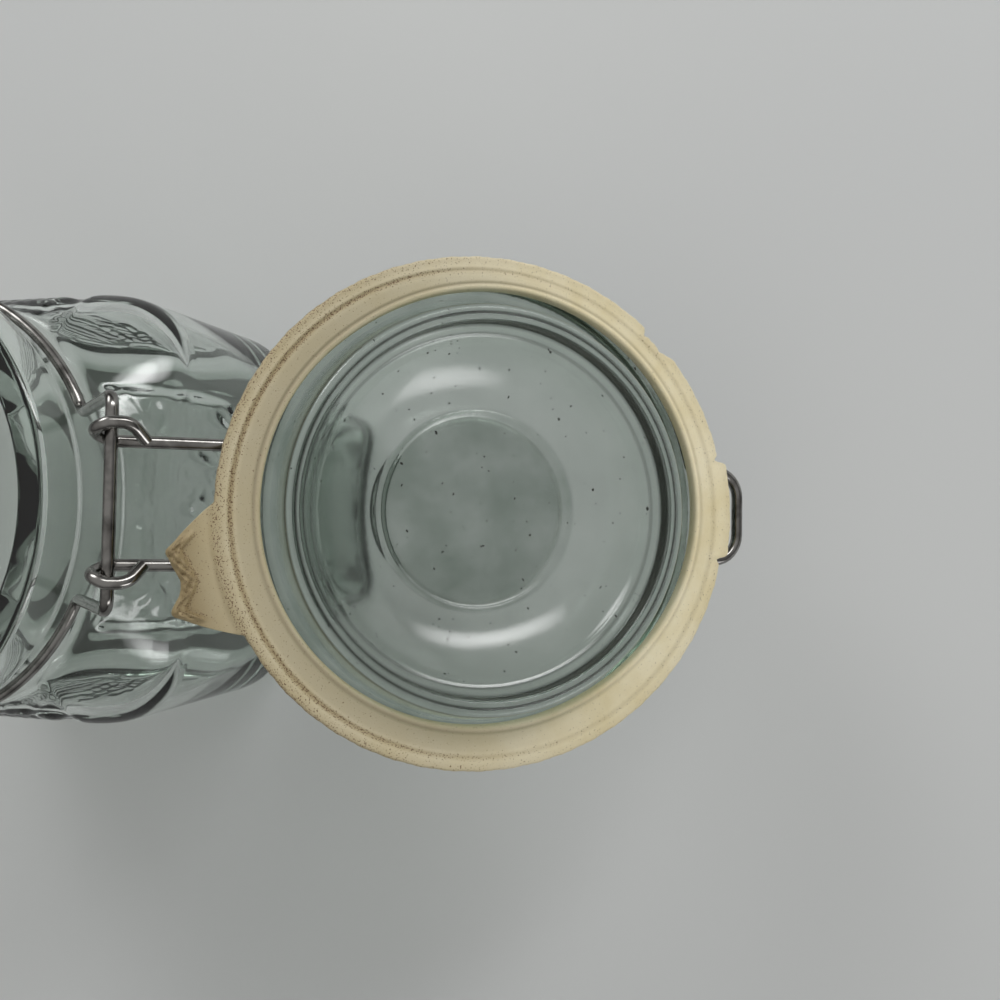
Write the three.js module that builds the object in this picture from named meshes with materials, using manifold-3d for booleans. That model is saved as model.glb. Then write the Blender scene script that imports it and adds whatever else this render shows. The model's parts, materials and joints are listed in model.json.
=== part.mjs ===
// Square glass canister with a hinged glass lid, a rubber seal and a toggle closure of bent wire.
// Millimetres, +Z up. The jar stands on z = 0 about the origin, with the hinge at +Y and the latch at -Y.
// The lid is modelled shut and then turned open about the hinge bar, past level, as it hangs on its stop.
import * as THREE from 'three';
import { mergeVertices } from 'three/addons/utils/BufferGeometryUtils.js';
import Module from 'manifold-3d';

const wasm = await Module();
wasm.setup();

// Jar
const BODY_WIDTH = 100;
const BODY_CORNER = 21;
const WALL = 3.8;
const FLOOR = 6;
const HEEL = 9;
const INNER_HEEL = 12;
const RIM_HEIGHT = 102;
const RIM_DEPTH = 12;
const NECK_LENGTH = 10;
const SHOULDER_RISE = 24;
const MOUTH_RADIUS = 41.2;
const RIM_OVERHANG = 3;
const RIM_ROUND = 1.5;
const RIM_UNDERCUT = 60;

// Lid
const PLUG_CLEARANCE = 1;
const PLUG_TAPER = 2.2;
const PLUG_DEPTH = 9.2;
const PLUG_LIP = 3.2;
const LIP_WALL = 3.4;
const BOWL_START = 0.4;
const DISC_RADIUS = 20;
const DISC_RISE = 3.2;
const FLANGE_LAP = 0.2;
const FLANGE_THICKNESS = 4;
const FLANGE_ROUND = 1;
const WIRE_LEDGE = 3.2;
const CROWN_HEIGHT = 13;
const CROWN_ROUND = 3.2;
const DISH_RADIUS = 18;
const DISH_SLOPE = 2.4;
const DISH_DEPTH = 1.5;

// Seal
const SEAL_WIDTH = 7.5;
const SEAL_STRETCH = 1.03;
const SEAL_THICKNESS = 3;
const SEAL_ROUND = 0.7;
const TAB_ANGLE = 12;
const TAB_REACH = 7.5;
const TAB_WIDTH = 25;
const TAB_END_WIDTH = 14;
const TAB_THICKNESS = 1.5;
const TAB_LIP = 2.6;
const SEAT_GAP = 0.3;

// Wire and its bends
const WIRE = 2.4;
const BEND = 3;
const EYE_PLAY = 0.3;
const WIRE_SEAT = 0.3;

// Hinge
const HINGE_REACH = 19;
const HINGE_ARM_SPREAD = 38;
const LEG_SPREAD = 22;
const TAIL_SHIFT = 2.9;
const TAIL_LENGTH = 3.4;
const TAIL_HOOK = 2.4;
const LID_OPENING = 213;

// Latch
const CATCH_WIDTH = 18.8;
const CATCH_RISE = 1.2;
const CATCH_BEND = 5.5;
const PIVOT_SPREAD = 34;
const PIVOT_STUB = 2.8;
const LEVER_STANDOFF = 10.6;
const LEVER_PASS = 0.4;
const LEVER_ARM_GAP = 1.1;
const LEVER_CRANK = 10;
const LEVER_OVER_CENTRE = 0.8;
const HANDLE_WIDTH = 15;
const HANDLE_TUCK = 1.6;
const HANDLE_TUCK_DROP = 14;
const HANDLE_KICK = 2.6;
const HANDLE_DROP = 30;
const LINK_GAP = 0.5;
const LINK_SEAT = 6.4;
const LINK_HANG = 5.8;
const EYE_OPEN = 105;

// Facets
const ROUND_STEPS = 48;
const CORNER_STEPS = 3;
const SHOULDER_STEPS = 5;
const BOWL_STEPS = 5;
const LIP_STEPS = 6;
const EDGE_STEPS = 2;
const WIRE_SIDES = 8;
const EYE_STEPS = 11;
const CURL_STEPS = 9;
const RING_STEP = 10;
const BEND_STEP = 24;

// Sizes that follow from those above
const bodyHalf = BODY_WIDTH / 2;
const neckRadius = MOUTH_RADIUS + WALL;
const neckTop = RIM_HEIGHT - RIM_DEPTH;
const neckBottom = neckTop - NECK_LENGTH;
const shoulderBottom = neckBottom - SHOULDER_RISE;
const rimRadius = neckRadius + RIM_OVERHANG;
const wireRadius = WIRE / 2;
const eyeRadius = WIRE + EYE_PLAY;
const sealBottom = RIM_HEIGHT + SEAT_GAP;
const flangeBottom = sealBottom + SEAL_THICKNESS + SEAT_GAP;
const plugRoot = MOUTH_RADIUS - PLUG_CLEARANCE;
const plugTip = plugRoot - PLUG_TAPER;
const sealInner = plugRoot + SEAT_GAP;
const sealRadius = sealInner + SEAL_WIDTH;
const flangeRadius = sealRadius + FLANGE_LAP;
const crownRadius = flangeRadius - WIRE_LEDGE;
const lidWireRadius = crownRadius + WIRE_SEAT + wireRadius;
const lidWireZ = flangeBottom + FLANGE_THICKNESS + WIRE_SEAT + wireRadius;
const hingeY = sealRadius + HINGE_REACH;
const hingeZ = lidWireZ - eyeRadius;
const neckWireRadius = neckRadius + WIRE_SEAT + wireRadius;
const neckWireZ = neckBottom + NECK_LENGTH / 2;
const legX = LEG_SPREAD / 2;
const catchX = CATCH_WIDTH / 2;
const pivotX = PIVOT_SPREAD / 2;
const pivotY = -bodyHalf - LEVER_STANDOFF;
const catchY = pivotY + wireRadius + LEVER_PASS;
const catchReach = -catchY - lidWireRadius;
const pivotZ = neckWireZ - eyeRadius;
const linkX = catchX + WIRE + LINK_GAP;

const glass = new THREE.MeshStandardMaterial({ color: 0xcfdcd8, roughness: 0.05, metalness: 0 });
const rubber = new THREE.MeshStandardMaterial({ color: 0xd6c39c, roughness: 0.7, metalness: 0 });
const steel = new THREE.MeshStandardMaterial({ color: 0x8d8f90, roughness: 0.25, metalness: 1 });

function namedMesh(name, geometry, material) {
  const mesh = new THREE.Mesh(geometry, material);
  mesh.name = name;
  return mesh;
}

// Points of a circular arc in a plane, from one angle to another in degrees, both ends included.
function arc(centre, radius, from, to, steps) {
  const points = [];
  for (let i = 0; i <= steps; i++) {
    const angle = THREE.MathUtils.degToRad(from + ((to - from) * i) / steps);
    points.push(new THREE.Vector2(centre.x + radius * Math.cos(angle), centre.y + radius * Math.sin(angle)));
  }
  return points;
}

// Distance from the axis to the edge of a rounded square, in a given direction.
function roundedSquareRadius(angle, half, corner) {
  const along = Math.max(Math.abs(Math.cos(angle)), Math.abs(Math.sin(angle)));
  const across = Math.min(Math.abs(Math.cos(angle)), Math.abs(Math.sin(angle)));
  const flat = half - corner;
  if ((half * across) / along <= flat) return half / along;
  const reach = flat * (along + across);
  return reach + Math.sqrt(reach * reach - 2 * flat * flat + corner * corner);
}

// Closed skin through stacked rounded squares, pinched to a point at its first and last station.
function loft(stations) {
  const positions = [0, 0, stations[0].z];
  for (const { z, half, corner } of stations) {
    for (let i = 0; i < ROUND_STEPS; i++) {
      const angle = ((i + 0.5) * 2 * Math.PI) / ROUND_STEPS;
      const radius = roundedSquareRadius(angle, half, corner);
      positions.push(radius * Math.cos(angle), radius * Math.sin(angle), z);
    }
  }
  const last = positions.length / 3;
  positions.push(0, 0, stations[stations.length - 1].z);
  const indices = [];
  const at = (ring, i) => 1 + ring * ROUND_STEPS + (i % ROUND_STEPS);
  for (let i = 0; i < ROUND_STEPS; i++) {
    indices.push(0, at(0, i + 1), at(0, i));
    for (let ring = 0; ring < stations.length - 1; ring++) {
      indices.push(at(ring, i), at(ring, i + 1), at(ring + 1, i + 1));
      indices.push(at(ring, i), at(ring + 1, i + 1), at(ring + 1, i));
    }
    indices.push(last, at(stations.length - 1, i), at(stations.length - 1, i + 1));
  }
  const geometry = new THREE.BufferGeometry();
  geometry.setAttribute('position', new THREE.Float32BufferAttribute(positions, 3));
  geometry.setIndex(indices);
  return geometry;
}

// The jar's skin runs from the middle of its base, up the outside, over the rim and down the inside.
function jarBody() {
  const square = (half, z, trim = 0) => ({ z, half, corner: Math.max(BODY_CORNER - trim, 1) });
  const round = (radius, z) => ({ z, half: radius, corner: radius });
  const shoulder = (inset) => {
    const stations = [];
    for (let i = 0; i <= SHOULDER_STEPS; i++) {
      const rise = i / SHOULDER_STEPS;
      const blend = (1 - Math.cos(Math.PI * rise)) / 2;
      const half = THREE.MathUtils.lerp(bodyHalf, neckRadius, blend) - inset;
      const corner = THREE.MathUtils.lerp(BODY_CORNER, neckRadius, blend) - inset;
      stations.push({ z: THREE.MathUtils.lerp(shoulderBottom, neckBottom, rise), half, corner });
    }
    return stations;
  };
  const heel = arc(new THREE.Vector2(bodyHalf - HEEL, HEEL), HEEL, -90, 0, CORNER_STEPS);
  const innerHalf = bodyHalf - WALL;
  const innerHeelCentre = new THREE.Vector2(innerHalf - INNER_HEEL, FLOOR + INNER_HEEL);
  const innerHeel = arc(innerHeelCentre, INNER_HEEL, 0, -90, CORNER_STEPS);
  const beadLow = new THREE.Vector2(rimRadius - RIM_ROUND, neckTop + RIM_OVERHANG);
  const beadHigh = new THREE.Vector2(rimRadius - RIM_ROUND, RIM_HEIGHT - RIM_ROUND);
  const beadLower = arc(beadLow, RIM_ROUND, -RIM_UNDERCUT, 0, EDGE_STEPS);
  const beadUpper = arc(beadHigh, RIM_ROUND, 0, 90, CORNER_STEPS);
  const lipCentre = new THREE.Vector2(MOUTH_RADIUS + RIM_ROUND, RIM_HEIGHT - RIM_ROUND);
  const lip = arc(lipCentre, RIM_ROUND, 90, 180, CORNER_STEPS);
  return loft([
    ...heel.map((p) => square(p.x, p.y, bodyHalf - p.x)),
    ...shoulder(0),
    round(neckRadius, neckTop),
    ...[...beadLower, ...beadUpper, ...lip].map((p) => round(p.x, p.y)),
    ...shoulder(WALL).reverse(),
    ...innerHeel.map((p) => square(p.x, p.y, bodyHalf - p.x)),
  ]);
}

// The lid's section. Underneath: a disc, a bowl that steepens outwards, and a plug with an upright lip.
// Above: the flange with the wire's ledge, and a crown with a dished top.
function lidGlass() {
  const bowlEdge = plugTip - PLUG_LIP;
  const discZ = flangeBottom + DISC_RISE;
  const tipZ = flangeBottom - PLUG_DEPTH;
  const lipRadius = PLUG_LIP / 2;
  const bowl = [];
  for (let i = 1; i <= BOWL_STEPS; i++) {
    const out = i / BOWL_STEPS;
    const fall = BOWL_START * out + (1 - BOWL_START) * out ** 2;
    const radius = THREE.MathUtils.lerp(DISC_RADIUS, bowlEdge, out);
    bowl.push(new THREE.Vector2(radius, THREE.MathUtils.lerp(discZ, tipZ + LIP_WALL, fall)));
  }
  const lip = arc(new THREE.Vector2(bowlEdge + lipRadius, tipZ + lipRadius), lipRadius, 180, 360, LIP_STEPS);
  const edge = flangeRadius - FLANGE_ROUND;
  const ledgeZ = flangeBottom + FLANGE_THICKNESS;
  const crownZ = flangeBottom + CROWN_HEIGHT;
  const crownCentre = new THREE.Vector2(crownRadius - CROWN_ROUND, crownZ - CROWN_ROUND);
  const profile = [
    new THREE.Vector2(0, discZ),
    new THREE.Vector2(DISC_RADIUS, discZ),
    ...bowl,
    ...lip,
    new THREE.Vector2(plugRoot, flangeBottom),
    ...arc(new THREE.Vector2(edge, flangeBottom + FLANGE_ROUND), FLANGE_ROUND, -90, 0, CORNER_STEPS),
    ...arc(new THREE.Vector2(edge, ledgeZ - FLANGE_ROUND), FLANGE_ROUND, 0, 90, CORNER_STEPS),
    new THREE.Vector2(crownRadius, ledgeZ),
    ...arc(crownCentre, CROWN_ROUND, 0, 90, CORNER_STEPS),
    new THREE.Vector2(DISH_RADIUS + DISH_SLOPE, crownZ),
    new THREE.Vector2(DISH_RADIUS + DISH_SLOPE / 2, crownZ - DISH_DEPTH / 2),
    new THREE.Vector2(DISH_RADIUS, crownZ - DISH_DEPTH),
    new THREE.Vector2(0, crownZ - DISH_DEPTH),
  ];
  return new THREE.LatheGeometry(profile, ROUND_STEPS).rotateX(Math.PI / 2);
}

function toSolid(geometry) {
  const bare = geometry.clone();
  bare.deleteAttribute('normal');
  bare.deleteAttribute('uv');
  const merged = mergeVertices(bare, 1e-4);
  const vertProperties = new Float32Array(merged.attributes.position.array);
  const triVerts = new Uint32Array(merged.index.array);
  return new wasm.Manifold(new wasm.Mesh({ numProp: 3, vertProperties, triVerts }));
}

function fromSolid(solid) {
  const { vertProperties, triVerts } = solid.getMesh();
  const geometry = new THREE.BufferGeometry();
  geometry.setAttribute('position', new THREE.Float32BufferAttribute(vertProperties, 3));
  geometry.setIndex(Array.from(triVerts));
  return geometry;
}

// The rubber ring, drawn a little long towards the hinge and the latch, and its pull tab with a thick lip.
function sealRing() {
  const middle = sealInner + SEAL_WIDTH / 2;
  const halfWidth = SEAL_WIDTH / 2 - SEAL_ROUND;
  const low = sealBottom + SEAL_ROUND;
  const high = sealBottom + SEAL_THICKNESS - SEAL_ROUND;
  const section = [
    ...arc(new THREE.Vector2(middle + halfWidth, low), SEAL_ROUND, -90, 0, EDGE_STEPS),
    ...arc(new THREE.Vector2(middle + halfWidth, high), SEAL_ROUND, 0, 90, EDGE_STEPS),
    ...arc(new THREE.Vector2(middle - halfWidth, high), SEAL_ROUND, 90, 180, EDGE_STEPS),
    ...arc(new THREE.Vector2(middle - halfWidth, low), SEAL_ROUND, 180, 270, EDGE_STEPS),
  ];
  section.push(section[0].clone());
  const ring = new THREE.LatheGeometry(section, ROUND_STEPS).rotateX(Math.PI / 2).scale(1, SEAL_STRETCH, 1);
  const end = sealRadius * SEAL_STRETCH + TAB_REACH;
  const web = new THREE.Shape();
  web.moveTo(-TAB_WIDTH / 2, middle);
  web.quadraticCurveTo(-TAB_END_WIDTH / 2, sealRadius, -TAB_END_WIDTH / 2, end - TAB_LIP / 2);
  web.lineTo(TAB_END_WIDTH / 2, end - TAB_LIP / 2);
  web.quadraticCurveTo(TAB_END_WIDTH / 2, sealRadius, TAB_WIDTH / 2, middle);
  const tab = new THREE.ExtrudeGeometry(web, { depth: TAB_THICKNESS, bevelEnabled: false, curveSegments: 5 });
  tab.translate(0, 0, sealBottom + (SEAL_THICKNESS - TAB_THICKNESS) / 2);
  const bead = new THREE.CapsuleGeometry(TAB_LIP / 2, TAB_END_WIDTH - TAB_LIP / 2, 3, 8);
  bead.rotateZ(Math.PI / 2).translate(0, end - TAB_LIP / 2, sealBottom + SEAL_THICKNESS / 2);
  const pull = toSolid(tab).add(toSolid(bead));
  const turned = fromSolid(pull).rotateZ(-THREE.MathUtils.degToRad(TAB_ANGLE));
  return fromSolid(toSolid(ring).add(toSolid(turned)));
}

// A bent wire's centre line, sampled where it bends: straight runs take one step each.
class WirePath extends THREE.Curve {
  constructor(stations) {
    super();
    this.stations = stations;
  }
  getPoint(t, target = new THREE.Vector3()) {
    const place = t * (this.stations.length - 1);
    const first = Math.min(Math.floor(place), this.stations.length - 2);
    return target.lerpVectors(this.stations[first], this.stations[first + 1], place - first);
  }
  getUtoTmapping(u) {
    return u;
  }
}

// A point of a wire's route, with the radius that the wire has there if the route turns.
function corner(x, y, z, bend = BEND) {
  return Object.assign(new THREE.Vector3(x, y, z), { bend });
}

// Rounds each sharp corner of a route.
function bendCorners(route) {
  const stations = [route[0]];
  for (let i = 1; i < route.length - 1; i++) {
    const into = route[i].clone().sub(route[i - 1]).normalize();
    const out = route[i + 1].clone().sub(route[i]).normalize();
    const turn = into.angleTo(out);
    const steps = Math.ceil(THREE.MathUtils.radToDeg(turn) / BEND_STEP);
    if (steps < 2) {
      stations.push(route[i]);
      continue;
    }
    const bend = route[i].bend;
    const trim = bend * Math.tan(turn / 2);
    const start = route[i].clone().addScaledVector(into, -trim);
    const inward = out.clone().addScaledVector(into, -Math.cos(turn)).normalize();
    for (let k = 0; k <= steps; k++) {
      const angle = (turn * k) / steps;
      const point = start.clone().addScaledVector(into, bend * Math.sin(angle));
      stations.push(point.addScaledVector(inward, bend * (1 - Math.cos(angle))));
    }
  }
  stations.push(route[route.length - 1]);
  return stations;
}

function wire(route) {
  const stations = bendCorners(route);
  const lastSide = 360 - 360 / WIRE_SIDES;
  const section = new THREE.Shape(arc(new THREE.Vector2(), wireRadius, 0, lastSide, WIRE_SIDES - 1));
  const options = { steps: stations.length - 1, extrudePath: new WirePath(stations), bevelEnabled: false };
  return new THREE.ExtrudeGeometry(section, options);
}

const mirrored = (route) => route.map((p) => corner(-p.x, p.y, p.z, p.bend)).reverse();

// Part of a level ring about the jar's axis, between two points given by their distance from the YZ plane.
function ringRun(radius, z, frontX, backX) {
  const from = Math.atan2(-Math.sqrt(radius ** 2 - frontX ** 2), frontX);
  const to = Math.atan2(Math.sqrt(radius ** 2 - backX ** 2), backX);
  const steps = Math.round(THREE.MathUtils.radToDeg(to - from) / RING_STEP);
  const run = [];
  for (let i = 0; i <= steps; i++) {
    const angle = from + ((to - from) * i) / steps;
    run.push(corner(radius * Math.cos(angle), radius * Math.sin(angle), z));
  }
  return run;
}

// Round the flange: catch loop in front, two legs behind that curl over the hinge bar, with hooked tails.
function lidWire() {
  const half = ringRun(lidWireRadius, lidWireZ, catchX, legX);
  const curl = arc(new THREE.Vector2(hingeY, hingeZ), eyeRadius, 90, -90, CURL_STEPS);
  const tailX = legX + TAIL_SHIFT;
  curl.forEach((p, i) => {
    const x = THREE.MathUtils.lerp(legX, tailX, i / (curl.length - 1));
    half.push(corner(x, p.x, p.y));
  });
  const tailY = hingeY - TAIL_LENGTH;
  half.push(corner(tailX, tailY, hingeZ - eyeRadius));
  half.push(corner(legX, tailY - TAIL_HOOK, hingeZ - eyeRadius + TAIL_HOOK));
  half.unshift(corner(catchX, catchY, lidWireZ + CATCH_RISE, CATCH_BEND));
  return wire([...mirrored(half), ...half]);
}

// In the neck groove: two eyes for the lever in front, and two arms behind that slope up to the hinge bar.
function neckWire() {
  const armX = HINGE_ARM_SPREAD / 2;
  const half = ringRun(neckWireRadius, neckWireZ, pivotX, armX).reverse();
  half.unshift(corner(armX, hingeY, hingeZ));
  const eye = arc(new THREE.Vector2(pivotY, pivotZ), eyeRadius, 90, 450 - EYE_OPEN, EYE_STEPS);
  eye.forEach((p) => half.push(corner(pivotX, p.x, p.y)));
  return wire([...mirrored(half), ...half]);
}

// Where the lever carries the link: below its pivot, and just outside the line from the pivot to the catch.
const linkSeat = new THREE.Vector2(-lidWireRadius - LINK_SEAT, 0);
linkSeat.y = lidWireZ + (CATCH_RISE * LINK_SEAT) / catchReach + WIRE + LINK_GAP;
const crank = new THREE.Vector2(pivotY + LEVER_OVER_CENTRE, pivotZ).sub(linkSeat);
crank.setLength(crank.length() + LEVER_CRANK).add(linkSeat);

// Stub axles in the eyes, two arms, a crank bar on each side for the link, and a looped handle.
function latchLever() {
  const armX = pivotX + WIRE + LEVER_ARM_GAP;
  const gripX = HANDLE_WIDTH / 2;
  const half = [
    corner(gripX, crank.x - HANDLE_KICK, crank.y - HANDLE_DROP),
    corner(gripX, crank.x + HANDLE_TUCK, crank.y - HANDLE_TUCK_DROP),
    corner(gripX, crank.x, crank.y),
    corner(armX, crank.x, crank.y),
    corner(armX, pivotY, pivotZ),
    corner(pivotX - PIVOT_STUB, pivotY, pivotZ),
  ];
  return wire([...mirrored(half), ...half]);
}

// A loop that hangs from the crank bars by an eye on each leg. Its cross bar hooks over the catch.
function latchLink() {
  const reach = crank.distanceTo(linkSeat);
  const length = Math.sqrt(reach ** 2 - eyeRadius ** 2);
  const eye = arc(new THREE.Vector2(0, 0), eyeRadius, 180, -90, EYE_STEPS);
  const half = [corner(linkX, -eyeRadius, -length)];
  eye.forEach((p) => half.push(corner(linkX, p.x, p.y)));
  return wire([...mirrored(half), ...half]);
}

const canister = new THREE.Group();
canister.add(namedMesh('jar_body', jarBody(), glass));
canister.add(namedMesh('neck_wire', neckWire(), steel));

const swing = new THREE.Group();
swing.position.set(0, hingeY, hingeZ);
swing.rotation.x = -THREE.MathUtils.degToRad(LID_OPENING);
const shut = new THREE.Group();
shut.position.set(0, -hingeY, -hingeZ);
shut.add(namedMesh('lid', lidGlass(), glass));
shut.add(namedMesh('seal', sealRing(), rubber));
shut.add(namedMesh('lid_wire', lidWire(), steel));
swing.add(shut);
canister.add(swing);

canister.add(namedMesh('latch_lever', latchLever(), steel));
const link = namedMesh('latch_link', latchLink(), steel);
link.position.set(0, crank.x, crank.y);
link.rotation.x = THREE.MathUtils.degToRad(LINK_HANG);
canister.add(link);

export default canister;
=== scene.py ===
import json
import math

import bmesh
import bpy
import numpy as np
from mathutils import Matrix, Vector


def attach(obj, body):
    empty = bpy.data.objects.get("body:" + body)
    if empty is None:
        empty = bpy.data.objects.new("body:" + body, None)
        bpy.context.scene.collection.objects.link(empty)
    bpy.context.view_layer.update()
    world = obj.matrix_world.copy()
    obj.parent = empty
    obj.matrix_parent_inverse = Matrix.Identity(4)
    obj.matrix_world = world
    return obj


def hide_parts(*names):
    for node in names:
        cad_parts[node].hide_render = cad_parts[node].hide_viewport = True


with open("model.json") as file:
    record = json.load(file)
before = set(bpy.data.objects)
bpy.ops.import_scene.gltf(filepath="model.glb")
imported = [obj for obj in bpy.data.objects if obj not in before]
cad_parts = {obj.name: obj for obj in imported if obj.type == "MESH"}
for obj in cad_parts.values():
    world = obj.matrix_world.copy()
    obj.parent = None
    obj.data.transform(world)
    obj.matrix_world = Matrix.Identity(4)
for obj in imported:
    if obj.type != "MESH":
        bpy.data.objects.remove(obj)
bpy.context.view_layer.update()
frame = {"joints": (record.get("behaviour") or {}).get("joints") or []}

MM = 0.001

# Jar
BODY_HALF = 50.0
BODY_CORNER = 21.0
WALL = 3.8
SHOULDER_WALL = 3.5
FLOOR = 6.0
HEEL = 9.0
INNER_HEEL = 12.0
BASE_PUSH = 1.4
BEARING_HALF = 36.0
SHOULDER_BOTTOM = 56.0
NECK_BOTTOM = 80.0
NECK_TOP = 90.0
RIM_HEIGHT = 102.0
MOUTH_RADIUS = 41.2
NECK_RADIUS = 45.0
RIM_RADIUS = 48.0
RIM_ROUND = 1.5
BEAD_RISE = 3.0
MOULD_WAVE = 0.0004
# Panel on each side, from the heel up onto the shoulder, and the height that the sheaf is drawn in
PANEL_SINK = 0.9
PANEL_EDGE = 2.5
PANEL_HALF = 27.0
PANEL_BOTTOM = 9.5
PANEL_TOP = 76.0
SHEAF_HEIGHT = 48.5

# Ornament: lengths, leans in radians, and heights as shares of the panel's depth
GRAIN_LONG = 3.6
GRAIN_WIDE = 1.75
GRAIN_LEAN = 0.42
GRAIN_SPREAD = 2.3
GRAIN_STAGGER = 0.4
TIP_LONG = 4.0
TIP_WIDE = 1.7
AWN_LENGTH = 11.0
AWN_LEAN = 0.3
AWN_WIDTH = 0.55
AWN_HEIGHT = 0.35
STEM_WIDTH = 0.8
STEM_HEIGHT = 0.5
BLADE_WIDTH = 1.5
BLADE_HEIGHT = 0.7
# Points along a blade, from the tie outwards
BLADE = ((1.5, 14), (8, 18), (16, 18), (23, 14))
TIE_HALF = 4.2
TIE_MIDDLE = 15.0
TIE_WIDTH = 1.6
TIE_HEIGHT = 0.9
# Each ear's place from the middle, its foot, its tip and its pairs of grains
STANDING_EARS = (
    (0, (0, 25), (0, 40), 5),
    (1, (9, 24), (12.5, 38), 4),
    (2, (16, 20), (22, 33), 4),
)

# Lid, as it is when shut
FLANGE_BOTTOM = 105.6
FLANGE_RADIUS = 48.2
FLANGE_THICKNESS = 4.0
FLANGE_ROUND = 1.0
PLUG_ROOT = 40.2
PLUG_TIP = 38.0
PLUG_DEPTH = 9.2
PLUG_LIP = 3.2
LIP_OUTER_ROUND = 1.1
LIP_INNER_ROUND = 0.8
LIP_WALL = 3.4
LIP_FILLET = 0.7
BOWL_START = 0.4
DISC_RADIUS = 20.0
DISC_RISE = 3.2
DISC_STEP = 0.35
DISC_EDGE = 2.6
DISC_BEAD = 0.3
DISC_BEAD_IN = 0.9
BEAD_WIDTH = 0.5
BOWL_GAP = 0.3
BOWL_BEAD = 0.35
BOWL_BEAD_RADIUS = 32.4
LIP_GROOVE = 0.35
LIP_GROOVE_RADIUS = 36.3
LIP_GROOVE_WIDTH = 0.22
CROWN_RADIUS = 45.0
CROWN_HEIGHT = 13.0
CROWN_ROUND = 3.2
CROWN_FILLET = 0.4
DISH_RADIUS = 16.8
DISH_SLOPE = 4.8
DISH_DEPTH = 1.5

# Seal, as it is when the lid is shut
# Angles are in degrees about the jar's axis, from +X, with the hinge at 90
SEAL_INNER = 40.5
SEAL_RADIUS = 48.0
SEAL_STRETCH = 1.03
SEAL_BOTTOM = 102.3
SEAL_THICKNESS = 3.0
SEAL_ROUND = 0.7
# Pull tab: how far round from the hinge it lies, its lip, and depths of the tear at places along its end
TAB_ANGLE = 13.6
TAB_REACH = 10.0
TAB_WIDTH = 23.5
TAB_END_WIDTH = 9.5
TAB_THICKNESS = 1.5
TAB_LIP = 3.0
TAB_LIP_RISE = 2.1
TEAR_PLACES = (-6.0, -4.2, -2.2, 0.2, 2.2, 4.0, 6.0)
TEAR_DEPTHS = (2.0, 1.5, 2.4, 3.2, 2.4, 0.3, 0.5)
# Groove, measured in from the bead's edge, and a fine line, measured in from the inner edge
GROOVE_IN = 2.7
GROOVE_DEPTH = 0.3
GROOVE_WIDTH = 0.34
INNER_SINK = 0.12
LINE_IN = 1.2
LINE_DEPTH = 0.22
LINE_WIDTH = 0.3
# Lug with a nick at each end, and the sides where the inner edge is slack, the ring spreads and it is grey
# with dirt and painted shade
LUG_START = 257.0
LUG_END = 280.5
LUG_RISE = 1.4
LUG_STEP = 1.5
SLACK = 2.1
SLACK_ANGLE = 237.0
SPREAD = 0.6
SPREAD_ANGLE = 315.0
DIRT_AND_SHADE_ANGLE = 80.0
NICK = 0.8
NICK_WIDTH = 2.6
# Chip in the edge, steep at its start, and how far round from there it begins to fade and ends
CHIP = 1.1
CHIP_START = 221.0
CHIP_STEP = 1.2
CHIP_FADE = 6.0
CHIP_LENGTH = 11.0

# Wire, thin enough that its round bends stay inside the solids' box
WIRE_RADIUS = 1.16
WIRE_SIDES = 24
BEND = 3.0
LEAST_BEND = 26.0
EYE_RADIUS = 2.63
LID_WIRE_RADIUS = 46.5
LID_WIRE_Z = 111.1
NECK_WIRE_RADIUS = 46.5
NECK_WIRE_Z = 85.0
HINGE_ARM_X = 19.0
LEG_X = 11.0
TAIL_SHIFT = 2.9
TAIL_LENGTH = 3.4
TAIL_HOOK = 2.4
CATCH_X = 9.4
CATCH_Y = -59.0
CATCH_RISE = 1.2
CATCH_BEND = 5.5
PIVOT_X = 17.0
PIVOT_STUB = 2.8
EYE_OPEN = 105.0
LEVER_ARM_X = 20.5
HANDLE_X = 7.5
HANDLE_TUCK = 1.6
HANDLE_TUCK_DROP = 14.0
HANDLE_KICK = 2.6
HANDLE_DROP = 30.0
LINK_X = 12.3
LINK_SEAT_Y = -52.9
LINK_SEAT_Z = 114.614
LINK_HANG = 5.8

joints = {joint["name"]: joint for joint in frame["joints"]}


def pivot(joint):
    """The (y, z) place in millimetres of a joint's axis, which runs along X."""
    return joints[joint]["pos_m"][1] / MM, joints[joint]["pos_m"][2] / MM


LID_OPENING = joints["lid_hinge"]["range_deg"][1]
HINGE_Y, HINGE_Z = pivot("lid_hinge")
PIVOT_Y, PIVOT_Z = pivot("lever_pivot")
CRANK_Y, CRANK_Z = pivot("link_pivot")


def linear(code):
    """A colour written as sRGB hex, as the linear RGBA that sockets take."""
    parts = [int(code[i:i + 2], 16) / 255 for i in (1, 3, 5)]
    return [c / 12.92 if c <= 0.04045 else ((c + 0.055) / 1.055) ** 2.4 for c in parts] + [1.0]


def add(tree, kind, links=None, **settings):
    """Adds a node. A setting is a property of the node or an input's value, and links feed its inputs."""
    node = tree.nodes.new(kind)
    for name, value in settings.items():
        if hasattr(node, name):
            setattr(node, name, value)
    for name, value in settings.items():
        if not hasattr(node, name):
            node.inputs[name.replace("_", " ")].default_value = value
    for name, source in (links or {}).items():
        tree.links.new(source, node.inputs[name])
    return node


def finish_of(name):
    """A new material with an empty node tree, and that tree."""
    material = bpy.data.materials.new(name)
    material.use_nodes = True
    material.node_tree.nodes.clear()
    return material, material.node_tree


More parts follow.
